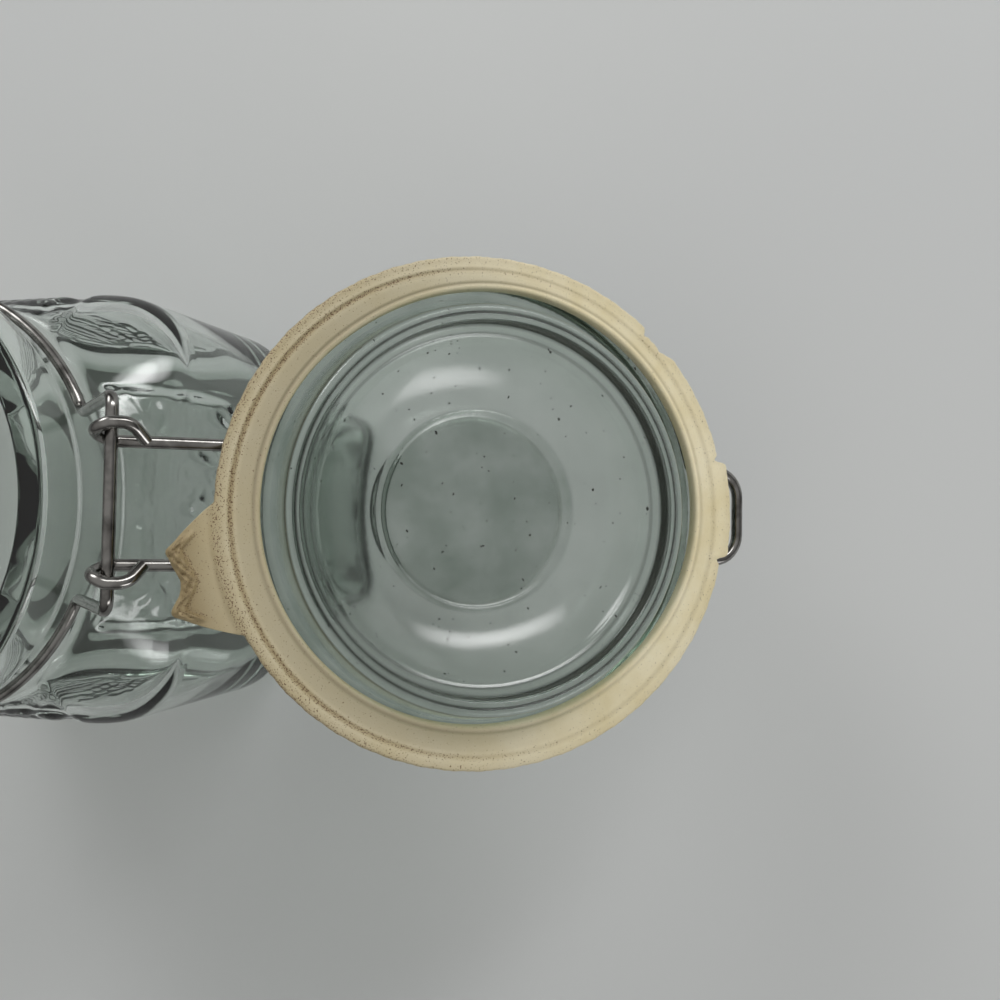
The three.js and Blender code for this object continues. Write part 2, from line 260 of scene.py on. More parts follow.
def pressed_soda_glass():
    """Pressed soda glass: clear with a faint green cast that deepens where it is thick, fire polished and
    slightly wavy from the mould. One attribute greys it in mottled patches as painted shade, and says where
    it is dulled and scoured from washing, with a few dark specks; another says where dark lines of painted
    shade run along its corners. Its shadow is pale, since lamps shine through it."""
    material, tree = finish_of("pressed_soda_glass")
    place = add(tree, "ShaderNodeTexCoord").outputs["Object"]
    haze = add(tree, "ShaderNodeAttribute", attribute_name="haze").outputs["Fac"]
    film = add(tree, "ShaderNodeAttribute", attribute_name="film").outputs["Fac"]
    cloud = add(tree, "ShaderNodeTexNoise", {"Vector": place}, Scale=1 / (11 * MM), Detail=4.0)
    patch = add(tree, "ShaderNodeMapRange", {"Value": cloud.outputs["Fac"]}, From_Min=0.3, From_Max=0.7)
    patch.inputs["To Min"].default_value = 0.55
    patch.inputs["To Max"].default_value = 1.0
    # Painted shade: greys the lid's glass in mottled patches, darkest on the disc
    dimmed = add(tree, "ShaderNodeMath", {0: haze, 1: patch.outputs["Result"]}, operation="MULTIPLY")
    hazed = add(tree, "ShaderNodeMix", {0: dimmed.outputs["Value"]}, data_type="RGBA")
    hazed.inputs[6].default_value = linear("#FBFDFC")
    hazed.inputs[7].default_value = linear("#9FAAA2")
    fleck = add(tree, "ShaderNodeTexNoise", {"Vector": place}, Scale=1 / (1.3 * MM), Detail=1.0)
    dot = add(tree, "ShaderNodeMapRange", {"Value": fleck.outputs["Fac"]}, From_Min=0.76, From_Max=0.78)
    used = add(tree, "ShaderNodeMapRange", {"Value": haze}, From_Min=0.1, From_Max=0.3)
    # Near-black: a few dark specks, and painted lines of shade along the lid's corners
    speck_and_painted_line = add(tree, "ShaderNodeMath", {0: used.outputs["Result"], 1: dot.outputs["Result"], 2: film},
               operation="MULTIPLY_ADD", use_clamp=True)
    flecked_and_shade_lined = add(tree, "ShaderNodeMix", {0: speck_and_painted_line.outputs["Value"], 6: hazed.outputs[2]}, data_type="RGBA")
    flecked_and_shade_lined.inputs[7].default_value = linear("#1C1A16")
    wave = add(tree, "ShaderNodeTexNoise", {"Vector": place}, Scale=1 / (14 * MM), Detail=1.0)
    bump = add(tree, "ShaderNodeBump", {"Height": wave.outputs["Fac"]}, Strength=0.25, Distance=0.4 * MM)
    scour = add(tree, "ShaderNodeTexNoise", {"Vector": place}, Scale=1 / (0.9 * MM), Detail=2.0)
    worn = add(tree, "ShaderNodeBump",
               {"Height": scour.outputs["Fac"], "Strength": haze, "Normal": bump.outputs["Normal"]},
               Distance=0.03 * MM)
    dull = add(tree, "ShaderNodeMapRange", {"Value": haze}, From_Max=0.4)
    dull.inputs["To Min"].default_value = 0.02
    dull.inputs["To Max"].default_value = 0.12
    skin = {"Base Color": flecked_and_shade_lined.outputs[2], "Roughness": dull.outputs["Result"],
            "Normal": worn.outputs["Normal"]}
    glass = add(tree, "ShaderNodeBsdfPrincipled", skin, IOR=1.52)
    glass.inputs["Transmission Weight"].default_value = 1.0
    clear = add(tree, "ShaderNodeBsdfTransparent", Color=linear("#BCC0BC"))
    path = add(tree, "ShaderNodeLightPath")
    mix = add(tree, "ShaderNodeMixShader")
    tree.links.new(path.outputs["Is Shadow Ray"], mix.inputs[0])
    tree.links.new(glass.outputs["BSDF"], mix.inputs[1])
    tree.links.new(clear.outputs["BSDF"], mix.inputs[2])
    depth = add(tree, "ShaderNodeVolumeAbsorption", Color=linear("#B9CDBF"), Density=30.0)
    add(tree, "ShaderNodeOutputMaterial",
        {"Surface": mix.outputs["Shader"], "Volume": depth.outputs["Volume"]})
    return material


def aged_natural_rubber():
    """Natural rubber that has gone from cream to tan over the years: matt and blotched. One attribute says
    where it is grey, from its own tone, dirt and painted shade, and is lowered along the inner edge as a
    painted highlight; the tan attribute where it is tan, and the grime attribute where brown dirt is ground
    in."""
    material, tree = finish_of("aged_natural_rubber")
    place = add(tree, "ShaderNodeTexCoord").outputs["Object"]
    age = add(tree, "ShaderNodeAttribute", attribute_name="age").outputs["Fac"]
    tan = add(tree, "ShaderNodeAttribute", attribute_name="tan").outputs["Fac"]
    grime = add(tree, "ShaderNodeAttribute", attribute_name="grime").outputs["Fac"]
    blotch = add(tree, "ShaderNodeTexNoise", {"Vector": place}, Scale=1 / (18 * MM), Detail=8.0)
    blotch.inputs["Roughness"].default_value = 0.68
    tone = add(tree, "ShaderNodeValToRGB", {"Fac": blotch.outputs["Fac"]})
    tone.color_ramp.elements[0].position = 0.32
    tone.color_ramp.elements[0].color = linear("#DFD1A6")
    tone.color_ramp.elements[1].position = 0.66
    tone.color_ramp.elements[1].color = linear("#EFE6C8")
    # Grey: the rubber's own tone, dirt and painted shade, taken away along the inner edge as a painted
    # highlight
    greyed = add(tree, "ShaderNodeMix", {0: age, 6: tone.outputs["Color"]}, data_type="RGBA")
    greyed.inputs[7].default_value = linear("#A69B80")
    # The tan film on the rubber is its own colour
    film = add(tree, "ShaderNodeMath", {0: tan}, operation="MULTIPLY")
    film.inputs[1].default_value = 0.95
    tanned = add(tree, "ShaderNodeMix", {0: film.outputs["Value"], 6: greyed.outputs[2]}, data_type="RGBA")
    tanned.inputs[7].default_value = linear("#988660")
    pores = add(tree, "ShaderNodeTexNoise", {"Vector": place}, Scale=1 / (0.28 * MM), Detail=4.0)
    dirt = add(tree, "ShaderNodeMath", {0: grime, 2: pores.outputs["Fac"]}, operation="MULTIPLY_ADD")
    dirt.inputs[1].default_value = 0.16
    speck = add(tree, "ShaderNodeMapRange", {"Value": dirt.outputs["Value"]}, From_Min=0.68, From_Max=0.73)
    dirty = add(tree, "ShaderNodeMix", {0: speck.outputs["Result"], 6: tanned.outputs[2]}, data_type="RGBA")
    dirty.inputs[7].default_value = linear("#6B5338")
    bump = add(tree, "ShaderNodeBump", {"Height": pores.outputs["Fac"]}, Strength=0.3, Distance=0.08 * MM)
    skin = {"Base Color": dirty.outputs[2], "Normal": bump.outputs["Normal"]}
    rubber = add(tree, "ShaderNodeBsdfPrincipled", skin, Roughness=0.62)
    add(tree, "ShaderNodeOutputMaterial", {"Surface": rubber.outputs["BSDF"]})
    return material


def drawn_steel_wire():
    """Drawn steel wire: smooth and bright, darkened and dulled in patches by handling."""
    material, tree = finish_of("drawn_steel_wire")
    place = add(tree, "ShaderNodeTexCoord").outputs["Object"]
    handling = add(tree, "ShaderNodeTexNoise", {"Vector": place}, Scale=1 / (3 * MM), Detail=4.0)
    dull = add(tree, "ShaderNodeMapRange", {"Value": handling.outputs["Fac"]})
    dull.inputs["To Min"].default_value = 0.1
    dull.inputs["To Max"].default_value = 0.28
    tone = add(tree, "ShaderNodeValToRGB", {"Fac": handling.outputs["Fac"]})
    tone.color_ramp.elements[0].position = 0.3
    tone.color_ramp.elements[0].color = linear("#5E5C59")
    tone.color_ramp.elements[1].position = 0.6
    tone.color_ramp.elements[1].color = linear("#92908D")
    steel = add(tree, "ShaderNodeBsdfPrincipled",
                {"Base Color": tone.outputs["Color"], "Roughness": dull.outputs["Result"]}, Metallic=1.0)
    add(tree, "ShaderNodeOutputMaterial", {"Surface": steel.outputs["BSDF"]})
    return material


def mesh_piece(name, points, faces, material):
    """A smooth closed piece from points in millimetres, with its faces turned outwards."""
    mesh = bpy.data.meshes.new(name)
    mesh.from_pydata((np.asarray(points) * MM).tolist(), [], faces)
    shell = bmesh.new()
    shell.from_mesh(mesh)
    bmesh.ops.recalc_face_normals(shell, faces=shell.faces)
    shell.to_mesh(mesh)
    shell.free()
    mesh.polygons.foreach_set("use_smooth", [True] * len(mesh.polygons))
    mesh.materials.append(material)
    piece = bpy.data.objects.new(name, mesh)
    bpy.context.scene.collection.objects.link(piece)
    return piece


def fit(piece, body, node):
    """The piece stands for a node of the part, which it hides, and moves with its body."""
    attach(piece, body)
    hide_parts(node)


def swing_open(points):
    """Turns points of the shut lid about the hinge bar to where the lid stands open."""
    turn = math.radians(-LID_OPENING)
    points = np.array(points, float)
    y = points[:, 1] - HINGE_Y
    z = points[:, 2] - HINGE_Z
    points[:, 1] = HINGE_Y + y * math.cos(turn) - z * math.sin(turn)
    points[:, 2] = HINGE_Z + y * math.sin(turn) + z * math.cos(turn)
    return points


def arc(x, y, radius, start, end, steps):
    """Points of a circular arc in a plane, between two angles in degrees, both ends included."""
    angles = np.radians(np.linspace(start, end, steps + 1))
    return np.stack([x + radius * np.cos(angles), y + radius * np.sin(angles)], 1)


def stacked_rings(rings):
    """Faces of a closed skin over rings of equal count, with one point more at the first and last ring."""
    count = len(rings[0])
    points = np.concatenate([rings[0].mean(0)[None], *rings, rings[-1].mean(0)[None]])
    last = len(points) - 1
    faces = []
    for k in range(len(rings) - 1):
        low, high = 1 + k * count, 1 + (k + 1) * count
        faces += [(low + i, low + (i + 1) % count, high + (i + 1) % count, high + i) for i in range(count)]
    end = 1 + (len(rings) - 1) * count
    faces += [(0, 1 + (i + 1) % count, 1 + i) for i in range(count)]
    faces += [(last, end + i, end + (i + 1) % count) for i in range(count)]
    return points, faces


def smooth(low, high, value):
    """A smooth step from 0 at low to 1 at high."""
    t = np.clip((value - low) / (high - low), 0, 1)
    return t * t * (3 - 2 * t)


def hump(value, width):
    """A smooth hump that is 1 where the value is 0 and fades over a width on each side."""
    return np.exp(-(value / width) ** 2)


def mark(piece, **values):
    """Stores numbers from 0 to 1 at the piece's points, which its material reads as attributes."""
    for name, numbers in values.items():
        piece.data.attributes.new(name, "FLOAT", "POINT").data.foreach_set("value", np.clip(numbers, 0, 1))


# Jar


def rounded_square(angles, half, corner):
    """Distance from the jar's axis to the edge of a rounded square, towards each angle."""
    along = np.maximum(abs(np.cos(angles)), abs(np.sin(angles)))
    across = np.minimum(abs(np.cos(angles)), abs(np.sin(angles)))
    flat = half - corner
    reach = flat * (along + across)
    rounded = reach + np.sqrt(np.maximum(reach ** 2 - 2 * flat ** 2 + corner ** 2, 0))
    return np.where(half * across / along <= flat, half / along, rounded)


def ridge(u, v, route, width):
    """Height of a rounded ridge along a bent line in the panel."""
    least = np.full_like(u, 1e9)
    for (u0, v0), (u1, v1) in zip(route[:-1], route[1:]):
        du, dv = u1 - u0, v1 - v0
        t = np.clip(((u - u0) * du + (v - v0) * dv) / (du * du + dv * dv), 0, 1)
        least = np.minimum(least, np.hypot(u - u0 - t * du, v - v0 - t * dv))
    return np.clip(1 - (least / width) ** 2, 0, 1)


def grain(u, v, centre, long, wide, lean):
    """Height of one plump grain, an ellipse in the panel that leans from upright."""
    c, s = math.cos(lean), math.sin(lean)
    along = (u - centre[0]) * s + (v - centre[1]) * c
    across = (u - centre[0]) * c - (v - centre[1]) * s
    return np.clip(1 - (along / long) ** 2 - (across / wide) ** 2, 0, 1)


def wheat_ear(u, v, foot, tip, pairs):
    """Height of an ear of wheat: grains in pairs along its axis, one at the tip, and a beard of fine awns."""
    axis = np.subtract(tip, foot)
    lean = math.atan2(axis[0], axis[1])
    side = np.array([math.cos(lean), -math.sin(lean)])
    height = grain(u, v, tip, TIP_LONG, TIP_WIDE, lean)
    for i in range(pairs):
        middle = np.add(foot, axis * (i / pairs))
        for hand in (-1, 1):
            centre = middle + hand * GRAIN_SPREAD * side + hand * GRAIN_STAGGER * axis / pairs
            height = np.maximum(height, grain(u, v, centre, GRAIN_LONG, GRAIN_WIDE, lean + hand * GRAIN_LEAN))
            way = lean + hand * AWN_LEAN
            awn = [centre, centre + AWN_LENGTH * np.array([math.sin(way), math.cos(way)])]
            height = np.maximum(height, AWN_HEIGHT * ridge(u, v, awn, AWN_WIDTH))
    return height


def wheat_sheaf(u, v):
    """Height, from 0 to 1, of the moulded ornament on a panel: a tied sheaf of five ears with two long
    blades, and two ears that lie above it."""
    tie = np.clip(1 - (u / TIE_HALF) ** 4 - ((v - TIE_MIDDLE) / TIE_WIDTH) ** 2, 0, 1)
    height = TIE_HEIGHT * np.sqrt(tie)
    for hand in (-1, 1):
        height = np.maximum(height, wheat_ear(u, v, (hand * 4, 51), (hand * 20, 50), 5))
        for place, (foot_u, foot_v), (tip_u, tip_v), pairs in STANDING_EARS:
            stem = [(place * 0.8, 11), (place, 16), (foot_u * 0.6, 22), (foot_u, foot_v)]
            stem = [(hand * stem_u, stem_v) for stem_u, stem_v in stem]
            height = np.maximum(height, STEM_HEIGHT * ridge(u, v, stem, STEM_WIDTH))
            foot, tip = (hand * foot_u, foot_v), (hand * tip_u, tip_v)
            height = np.maximum(height, wheat_ear(u, v, foot, tip, pairs))
        blade = [(hand * blade_u, blade_v) for blade_u, blade_v in BLADE]
        height = np.maximum(height, BLADE_HEIGHT * ridge(u, v, blade, BLADE_WIDTH))
    return height


def jar():
    """The outside from the base up, with a panel on each side, then the rim, and the inside down to the
    floor."""
    columns = 400
    angles = (np.arange(columns) + 0.5) * 2 * np.pi / columns

    def ring(z, half, corner):
        radius = rounded_square(angles, half, corner)
        return np.stack([radius * np.cos(angles), radius * np.sin(angles), np.full(columns, z)], 1)

    def wavy(points):
        """The mould's unevenness, about a tenth of a millimetre."""
        a, z = angles, points[:, 2]
        swell = np.sin(9 * a + z / 3) + np.sin(14 * a - z / 4.3 + 1) + np.sin(23 * a + z / 2.1 + 2)
        points[:, :2] *= (1 - MOULD_WAVE * (3 + swell))[:, None]
        return points

    def shoulder(inset, steps):
        """Rings from the square body to the round neck, set in from the outside by a thickness of glass."""
        rise = np.linspace(0, 1, steps + 1)
        blend = (1 - np.cos(np.pi * rise)) / 2
        halves = BODY_HALF + (NECK_RADIUS - BODY_HALF) * blend - inset
        corners = BODY_CORNER + (NECK_RADIUS - BODY_CORNER) * blend - inset
        heights = SHOULDER_BOTTOM + (NECK_BOTTOM - SHOULDER_BOTTOM) * rise
        return [ring(z, half, corner) for z, half, corner in zip(heights, halves, corners)]

    def square(half, z):
        """A ring of the body, or one inside it with the same corners' centres."""
        return ring(z, half, max(BODY_CORNER - (BODY_HALF - half), 1))

    def panelled(points):
        """Sinks a panel into each side, with the ornament left standing in it."""
        z = points[:, 2]
        front = abs(points[:, 1]) >= abs(points[:, 0])
        u = np.where(front, points[:, 0] * -np.sign(points[:, 1]), points[:, 1] * np.sign(points[:, 0]))
        edge = smooth(0, PANEL_EDGE, PANEL_HALF - abs(u))
        edge *= smooth(0, PANEL_EDGE, z - PANEL_BOTTOM) * smooth(0, PANEL_EDGE, PANEL_TOP - z)
        v = PANEL_BOTTOM + (z - PANEL_BOTTOM) * SHEAF_HEIGHT / (PANEL_TOP - PANEL_BOTTOM)
        sink = PANEL_SINK * edge * (1 - wheat_sheaf(u, v))
        points[:, 0] -= np.where(front, 0, sink * np.sign(points[:, 0]))
        points[:, 1] -= np.where(front, sink * np.sign(points[:, 1]), 0)
        return points

    rings = []
    for half in np.linspace(4, BEARING_HALF, 9):
        rings.append(ring(BASE_PUSH * (1 - smooth(0.55, 1, half / BEARING_HALF)), half, half * 0.5))
    rings += [square(x, z) for x, z in arc(BODY_HALF - HEEL, HEEL, HEEL, -90, 0, 10)]
    rings += [panelled(square(BODY_HALF, z)) for z in np.linspace(HEEL, SHOULDER_BOTTOM, 72)[1:-1]]
    rings += [panelled(wavy(points)) for points in shoulder(0, 40)]
    rings += [ring(z, NECK_RADIUS, NECK_RADIUS) for z in np.linspace(NECK_BOTTOM, NECK_TOP, 4)[1:]]
    bead = [*arc(RIM_RADIUS - RIM_ROUND, NECK_TOP + BEAD_RISE, RIM_ROUND, -60, 0, 5),
            *arc(RIM_RADIUS - RIM_ROUND, RIM_HEIGHT - RIM_ROUND, RIM_ROUND, 0, 90, 6),
            *arc(MOUTH_RADIUS + RIM_ROUND, RIM_HEIGHT - RIM_ROUND, RIM_ROUND, 90, 180, 6)]
    rings += [ring(z, radius, radius) for radius, z in bead]
    rings += [wavy(points) for points in shoulder(SHOULDER_WALL, 24)[::-1]]
    inner = BODY_HALF - WALL
    rings += [square(x, z) for x, z in arc(inner - INNER_HEEL, FLOOR + INNER_HEEL, INNER_HEEL, 0, -90, 10)]
    for half in np.linspace(30, 4, 7):
        rings.append(ring(FLOOR, half, half * 0.5))
    return mesh_piece("jar_glass", *stacked_rings(rings), glass)


# Lid


def lid():
    """Underneath: a disc, a bowl round it, the lip that the plug ends in, with a fine groove, and the
    plug's wall. Above: the flange, the ledge that the wire lies on, and a crown with a dished top."""
    columns = 256
    angles = np.arange(columns) * 2 * np.pi / columns
    disc_z = FLANGE_BOTTOM + DISC_RISE
    tip_z = FLANGE_BOTTOM - PLUG_DEPTH
    lip_inner = PLUG_TIP - PLUG_LIP
    bowl_z = tip_z + LIP_WALL
    rim = np.linspace(DISC_RADIUS - DISC_EDGE, DISC_RADIUS, 14)
    rim_z = disc_z + DISC_STEP * (1 - smooth(rim[0], rim[-1], rim))
    rim_z -= DISC_BEAD * hump(rim - DISC_RADIUS + DISC_BEAD_IN, BEAD_WIDTH)
    out = np.linspace(0, 1, 48)
    bowl = DISC_RADIUS + BOWL_GAP + (lip_inner - LIP_FILLET - DISC_RADIUS - BOWL_GAP) * out
    slope_z = disc_z + (bowl_z - disc_z) * (BOWL_START * out + (1 - BOWL_START) * out ** 2)
    slope_z -= BOWL_BEAD * hump(bowl - BOWL_BEAD_RADIUS, BEAD_WIDTH)
    groove = np.linspace(-0.45, 0.45, 9)
    edge = FLANGE_RADIUS - FLANGE_ROUND
    ledge_z = FLANGE_BOTTOM + FLANGE_THICKNESS
    crown_z = FLANGE_BOTTOM + CROWN_HEIGHT

    def ease(start, end, steps):
        """Points of a smooth step between two (radius, height) places, level at both ends."""
        t = np.linspace(0, 1, steps + 1)
        rise = (1 - np.cos(np.pi * t)) / 2
        return np.stack([start[0] + (end[0] - start[0]) * t, start[1] + (end[1] - start[1]) * rise], 1)

    profile = [
        *[(radius, disc_z + DISC_STEP) for radius in np.linspace(1, DISC_RADIUS - DISC_EDGE - 1, 8)],
        *zip(rim, rim_z),
        *zip(bowl, slope_z),
        *arc(lip_inner - LIP_FILLET, bowl_z - LIP_FILLET, LIP_FILLET, 40, 0, 4),
        *arc(lip_inner + LIP_INNER_ROUND, tip_z + LIP_INNER_ROUND, LIP_INNER_ROUND, 180, 270, 6),
        *zip(LIP_GROOVE_RADIUS + groove, tip_z + LIP_GROOVE * hump(groove, LIP_GROOVE_WIDTH)),
        *arc(PLUG_TIP - LIP_OUTER_ROUND, tip_z + LIP_OUTER_ROUND, LIP_OUTER_ROUND, -90, 0, 7),
        *np.linspace((PLUG_TIP, tip_z + LIP_OUTER_ROUND), (PLUG_ROOT, FLANGE_BOTTOM), 6)[1:-1],
        *[(radius, FLANGE_BOTTOM) for radius in np.linspace(PLUG_ROOT + 0.3, edge, 9)[:-1]],
        *arc(edge, FLANGE_BOTTOM + FLANGE_ROUND, FLANGE_ROUND, -90, 0, 5),
        *arc(edge, ledge_z - FLANGE_ROUND, FLANGE_ROUND, 0, 90, 5),
        *arc(CROWN_RADIUS + CROWN_FILLET, ledge_z + CROWN_FILLET, CROWN_FILLET, -90, -180, 3),
        *arc(CROWN_RADIUS - CROWN_ROUND, crown_z - CROWN_ROUND, CROWN_ROUND, 0, 90, 10),
        *ease((DISH_RADIUS + DISH_SLOPE, crown_z), (DISH_RADIUS, crown_z - DISH_DEPTH), 14),
        *[(radius, crown_z - DISH_DEPTH) for radius in np.linspace(DISH_RADIUS - 3, 1, 7)],
    ]
    rings = [np.stack([r * np.cos(angles), r * np.sin(angles), np.full(columns, z)], 1) for r, z in profile]
    points, faces = stacked_rings(rings)
    piece = mesh_piece("lid_glass", swing_open(points), faces, glass)
    radius = np.hypot(points[:, 0], points[:, 1])
    below = points[:, 2] < FLANGE_BOTTOM + 0.1
    # Painted shade: grey on the disc, less so outside it, and again on the plug's wall and the flange's
    # underside
    haze = 1 - 0.6 * smooth(DISC_RADIUS - 1.2, DISC_RADIUS + 0.4, radius)
    haze += 0.6 * below * smooth(PLUG_TIP - 0.5, PLUG_TIP, radius)
    # Painted shade: near-black lines along the lip's groove and inner edge, the plug's edge and beside the
    # bowl's bead
    film = hump(radius - LIP_GROOVE_RADIUS, 0.4) + hump(radius - lip_inner, 0.4)
    film += hump(radius - PLUG_TIP, 0.2)
    film += 0.7 * hump(radius - BOWL_BEAD_RADIUS - 0.7, 0.3)
    mark(piece, haze=haze, film=film * below)
    return piece


# Seal


def seal():
    """A flat ring with a raised bead outside a groove, a fine line by its inner edge, a short lug in front
    and a pull tab behind. The tab's thick end is torn, and the ring's edge has nicks and a chip."""
    columns = 720
    angles = np.arange(columns) * 2 * np.pi / columns
    degrees = np.degrees(angles)
    tab_middle = 90 - TAB_ANGLE
    along = np.radians(tab_middle - degrees) * SEAL_RADIUS
    stretch = 1 / np.hypot(np.cos(angles), np.sin(angles) / SEAL_STRETCH)
    inner = SEAL_INNER * stretch + SLACK * smooth(-0.2, 1, np.cos(angles - math.radians(SLACK_ANGLE)))
    spread = SPREAD * (1 + np.cos(angles - math.radians(SPREAD_ANGLE)))
    rough = 0.05 * np.sin(angles * 53 + 1) + 0.03 * np.sin(angles * 131) + 0.02 * np.sin(angles * 211 + 2)

    def bump(middle, width):
        """One at an angle in degrees, falling smoothly to nothing at half a width away."""
        return 1 - smooth(0, width / 2, abs(degrees - middle))

    lug = smooth(LUG_START, LUG_START + LUG_STEP, degrees)
    lug *= 1 - smooth(LUG_END - LUG_STEP, LUG_END, degrees)
    nicks = bump(LUG_START, NICK_WIDTH) + bump(LUG_END, NICK_WIDTH)
    chip = smooth(CHIP_START, CHIP_START + CHIP_STEP, degrees)
    chip *= 1 - smooth(CHIP_START + CHIP_FADE, CHIP_START + CHIP_LENGTH, degrees)
    bead = SEAL_RADIUS * stretch + spread
    ring_edge = bead + LUG_RISE * lug - NICK * nicks - CHIP * chip + rough * (1 + 2 * chip)
    flare = np.clip((TAB_WIDTH / 2 - abs(along)) / (TAB_WIDTH - TAB_END_WIDTH) * 2, 0, 1)
    tear = np.interp(along, TEAR_PLACES, TEAR_DEPTHS) + 2 * rough
    tab = np.clip(TAB_REACH * flare - tear * flare, 0, TAB_REACH)
    outer = ring_edge + tab
    half = SEAL_THICKNESS / 2
    middle = SEAL_BOTTOM + half
    end_lip = smooth(0.55, 0.9, flare)
    # Wear grows towards the hinge
    hinge_side = 0.3 + 0.7 * smooth(-0.4, 0.9, np.sin(angles))
    # Greyer towards the hinge from ground-in dirt, and towards +X as painted shade where less light falls
    aged = 0.75 * smooth(-0.9, 0.7, np.cos(angles - math.radians(DIRT_AND_SHADE_ANGLE)))

    def loop(share, face):
        """Points at a share of the way across, with their grime, tan, and grey with its painted shade and
        highlight. The face is -1 for the side that meets the jar's rim and 1 for the lid's."""
        radius = inner + (outer - inner) * share
        edge = np.minimum(np.minimum(radius - inner, outer - radius), SEAL_ROUND)
        height = half - SEAL_ROUND + np.sqrt(np.clip(SEAL_ROUND ** 2 - (SEAL_ROUND - edge) ** 2, 0, None))
        from_edge = ring_edge - radius
        from_groove = bead - GROOVE_IN - radius
        in_line = hump(radius - inner - LINE_IN, LINE_WIDTH)
        if face < 0:
            sunk = GROOVE_DEPTH * hump(from_groove, GROOVE_WIDTH) + INNER_SINK * smooth(0, 0.8, from_groove)
            height -= sunk * hinge_side + LINE_DEPTH * in_line
        past = smooth(0, 1.2, -from_edge)
        lip = np.sqrt(np.clip(1 - ((outer - radius - TAB_LIP / 2) / (TAB_LIP / 2)) ** 2, 0, 1))
        web = np.minimum(height, TAB_THICKNESS / 2)
        crumple = 0.22 * np.sin(131 * angles + 3 * radius) + 0.18 * np.sin(211 * angles - 4.5 * radius + 2)
        web = np.maximum(web, TAB_LIP_RISE * lip * end_lip * (1 + crumple))
        height = height * (1 - past) + web * past
        grime = smooth(0.9, 0, abs(from_groove)) + 0.7 * smooth(GROOVE_IN, 0, from_edge)
        grime *= 1 - 0.7 * past
        foot = hump(outer - radius - TAB_LIP, 0.35)
        tan = 0.85 * grime + past * (0.3 + 0.2 * lip * end_lip) + 0.45 * smooth(0, 7, -from_edge)
        grime += past * (0.4 * lip + foot) * end_lip + 0.2 * (1 - past)
        # Grey towards the hinge side, greyer on the inner band, the rubber's own tone, and along the fine
        # line
        age = aged * (0.6 + 0.4 * smooth(GROOVE_IN, GROOVE_IN + 1.5, from_edge)) + 0.3 * in_line
        # Painted highlight: paler along the inner edge, where light catches its upright wall
        age -= 0.6 * hump(radius - inner, 0.5)
        points = np.stack([radius * np.cos(angles), radius * np.sin(angles), middle + face * height], 1)
        return points, grime * hinge_side, tan * hinge_side, age

    below = [loop(share, -1) for share in np.linspace(0, 1, 60)]
    above = [loop(share, 1) for share in 0.5 + 0.5 * np.cos(np.linspace(0, np.pi, 24))]
    points, grime, tan, age = (np.concatenate(parts) for parts in zip(*below, *above))
    faces = []
    count = len(below) + len(above)
    for k in range(count):
        low, high = k * columns, ((k + 1) % count) * columns
        for i in range(columns):
            after = (i + 1) % columns
            faces.append((low + i, low + after, high + after, high + i))
    piece = mesh_piece("seal_ring", swing_open(points), faces, rubber)
    mark(piece, grime=grime, tan=tan, age=age)
    return piece


# Wires


def mirrored(route):
    """The other half of a route that is alike on both sides, from its end to the middle."""
    return [(-x, *rest) for x, *rest in reversed(route)]


def bent(route):
    """Rounds each corner of a route that turns by LEAST_BEND degrees or more. A fourth number at a point
    is its own bend radius."""
    bends = [point[3] if len(point) > 3 else BEND for point in route]
    route = [Vector(point[:3]) for point in route]
    stations = [route[0]]
    for before, corner, after, bend in zip(route[:-2], route[1:-1], route[2:], bends[1:-1]):
        into = (corner - before).normalized()
        out = (after - corner).normalized()
        turn = into.angle(out)
        if turn < math.radians(LEAST_BEND):
            stations.append(corner)
            continue
        start = corner - into * bend * math.tan(turn / 2)
        inward = (out - into * math.cos(turn)).normalized()
        for k in range(9):
            angle = turn * k / 8
            stations.append(start + into * bend * math.sin(angle) + inward * bend * (1 - math.cos(angle)))
    return stations + [route[-1]]


def ring_run(radius, z, front_x, back_x):
    """Part of a level ring about the jar's axis on the +X side, from the front to the back. The points
    next to its ends are left out, which makes room for the bends there."""
    start = math.atan2(-math.sqrt(radius ** 2 - front_x ** 2), front_x)
    end = math.atan2(math.sqrt(radius ** 2 - back_x ** 2), back_x)
    angles = np.delete(np.linspace(start, end, 61), [1, 59])
    return [(radius * math.cos(a), radius * math.sin(a), z) for a in angles]


def lid_wire_route():
    """From the catch round the lid to a leg, whose end curls over the hinge bar and hooks back on the leg."""
    half = [(CATCH_X, CATCH_Y, LID_WIRE_Z + CATCH_RISE, CATCH_BEND)]
    half += ring_run(LID_WIRE_RADIUS, LID_WIRE_Z, CATCH_X, LEG_X)
    curl = arc(HINGE_Y, HINGE_Z, EYE_RADIUS, 90, -90, 20)
    half += [(LEG_X + TAIL_SHIFT * i / 20, y, z) for i, (y, z) in enumerate(curl)]
    tail_y = HINGE_Y - TAIL_LENGTH
    half.append((LEG_X + TAIL_SHIFT, tail_y, HINGE_Z - EYE_RADIUS))
    half.append((LEG_X, tail_y - TAIL_HOOK, HINGE_Z - EYE_RADIUS + TAIL_HOOK))
    return mirrored(half) + half


def neck_wire_route():
    """From the hinge bar down an arm, round the neck to the front, and into an eye for the lever."""
    half = [(HINGE_ARM_X, HINGE_Y, HINGE_Z)]
    half += ring_run(NECK_WIRE_RADIUS, NECK_WIRE_Z, PIVOT_X, HINGE_ARM_X)[::-1]
    half += [(PIVOT_X, y, z) for y, z in arc(PIVOT_Y, PIVOT_Z, EYE_RADIUS, 90, 450 - EYE_OPEN, 28)]
    return mirrored(half) + half


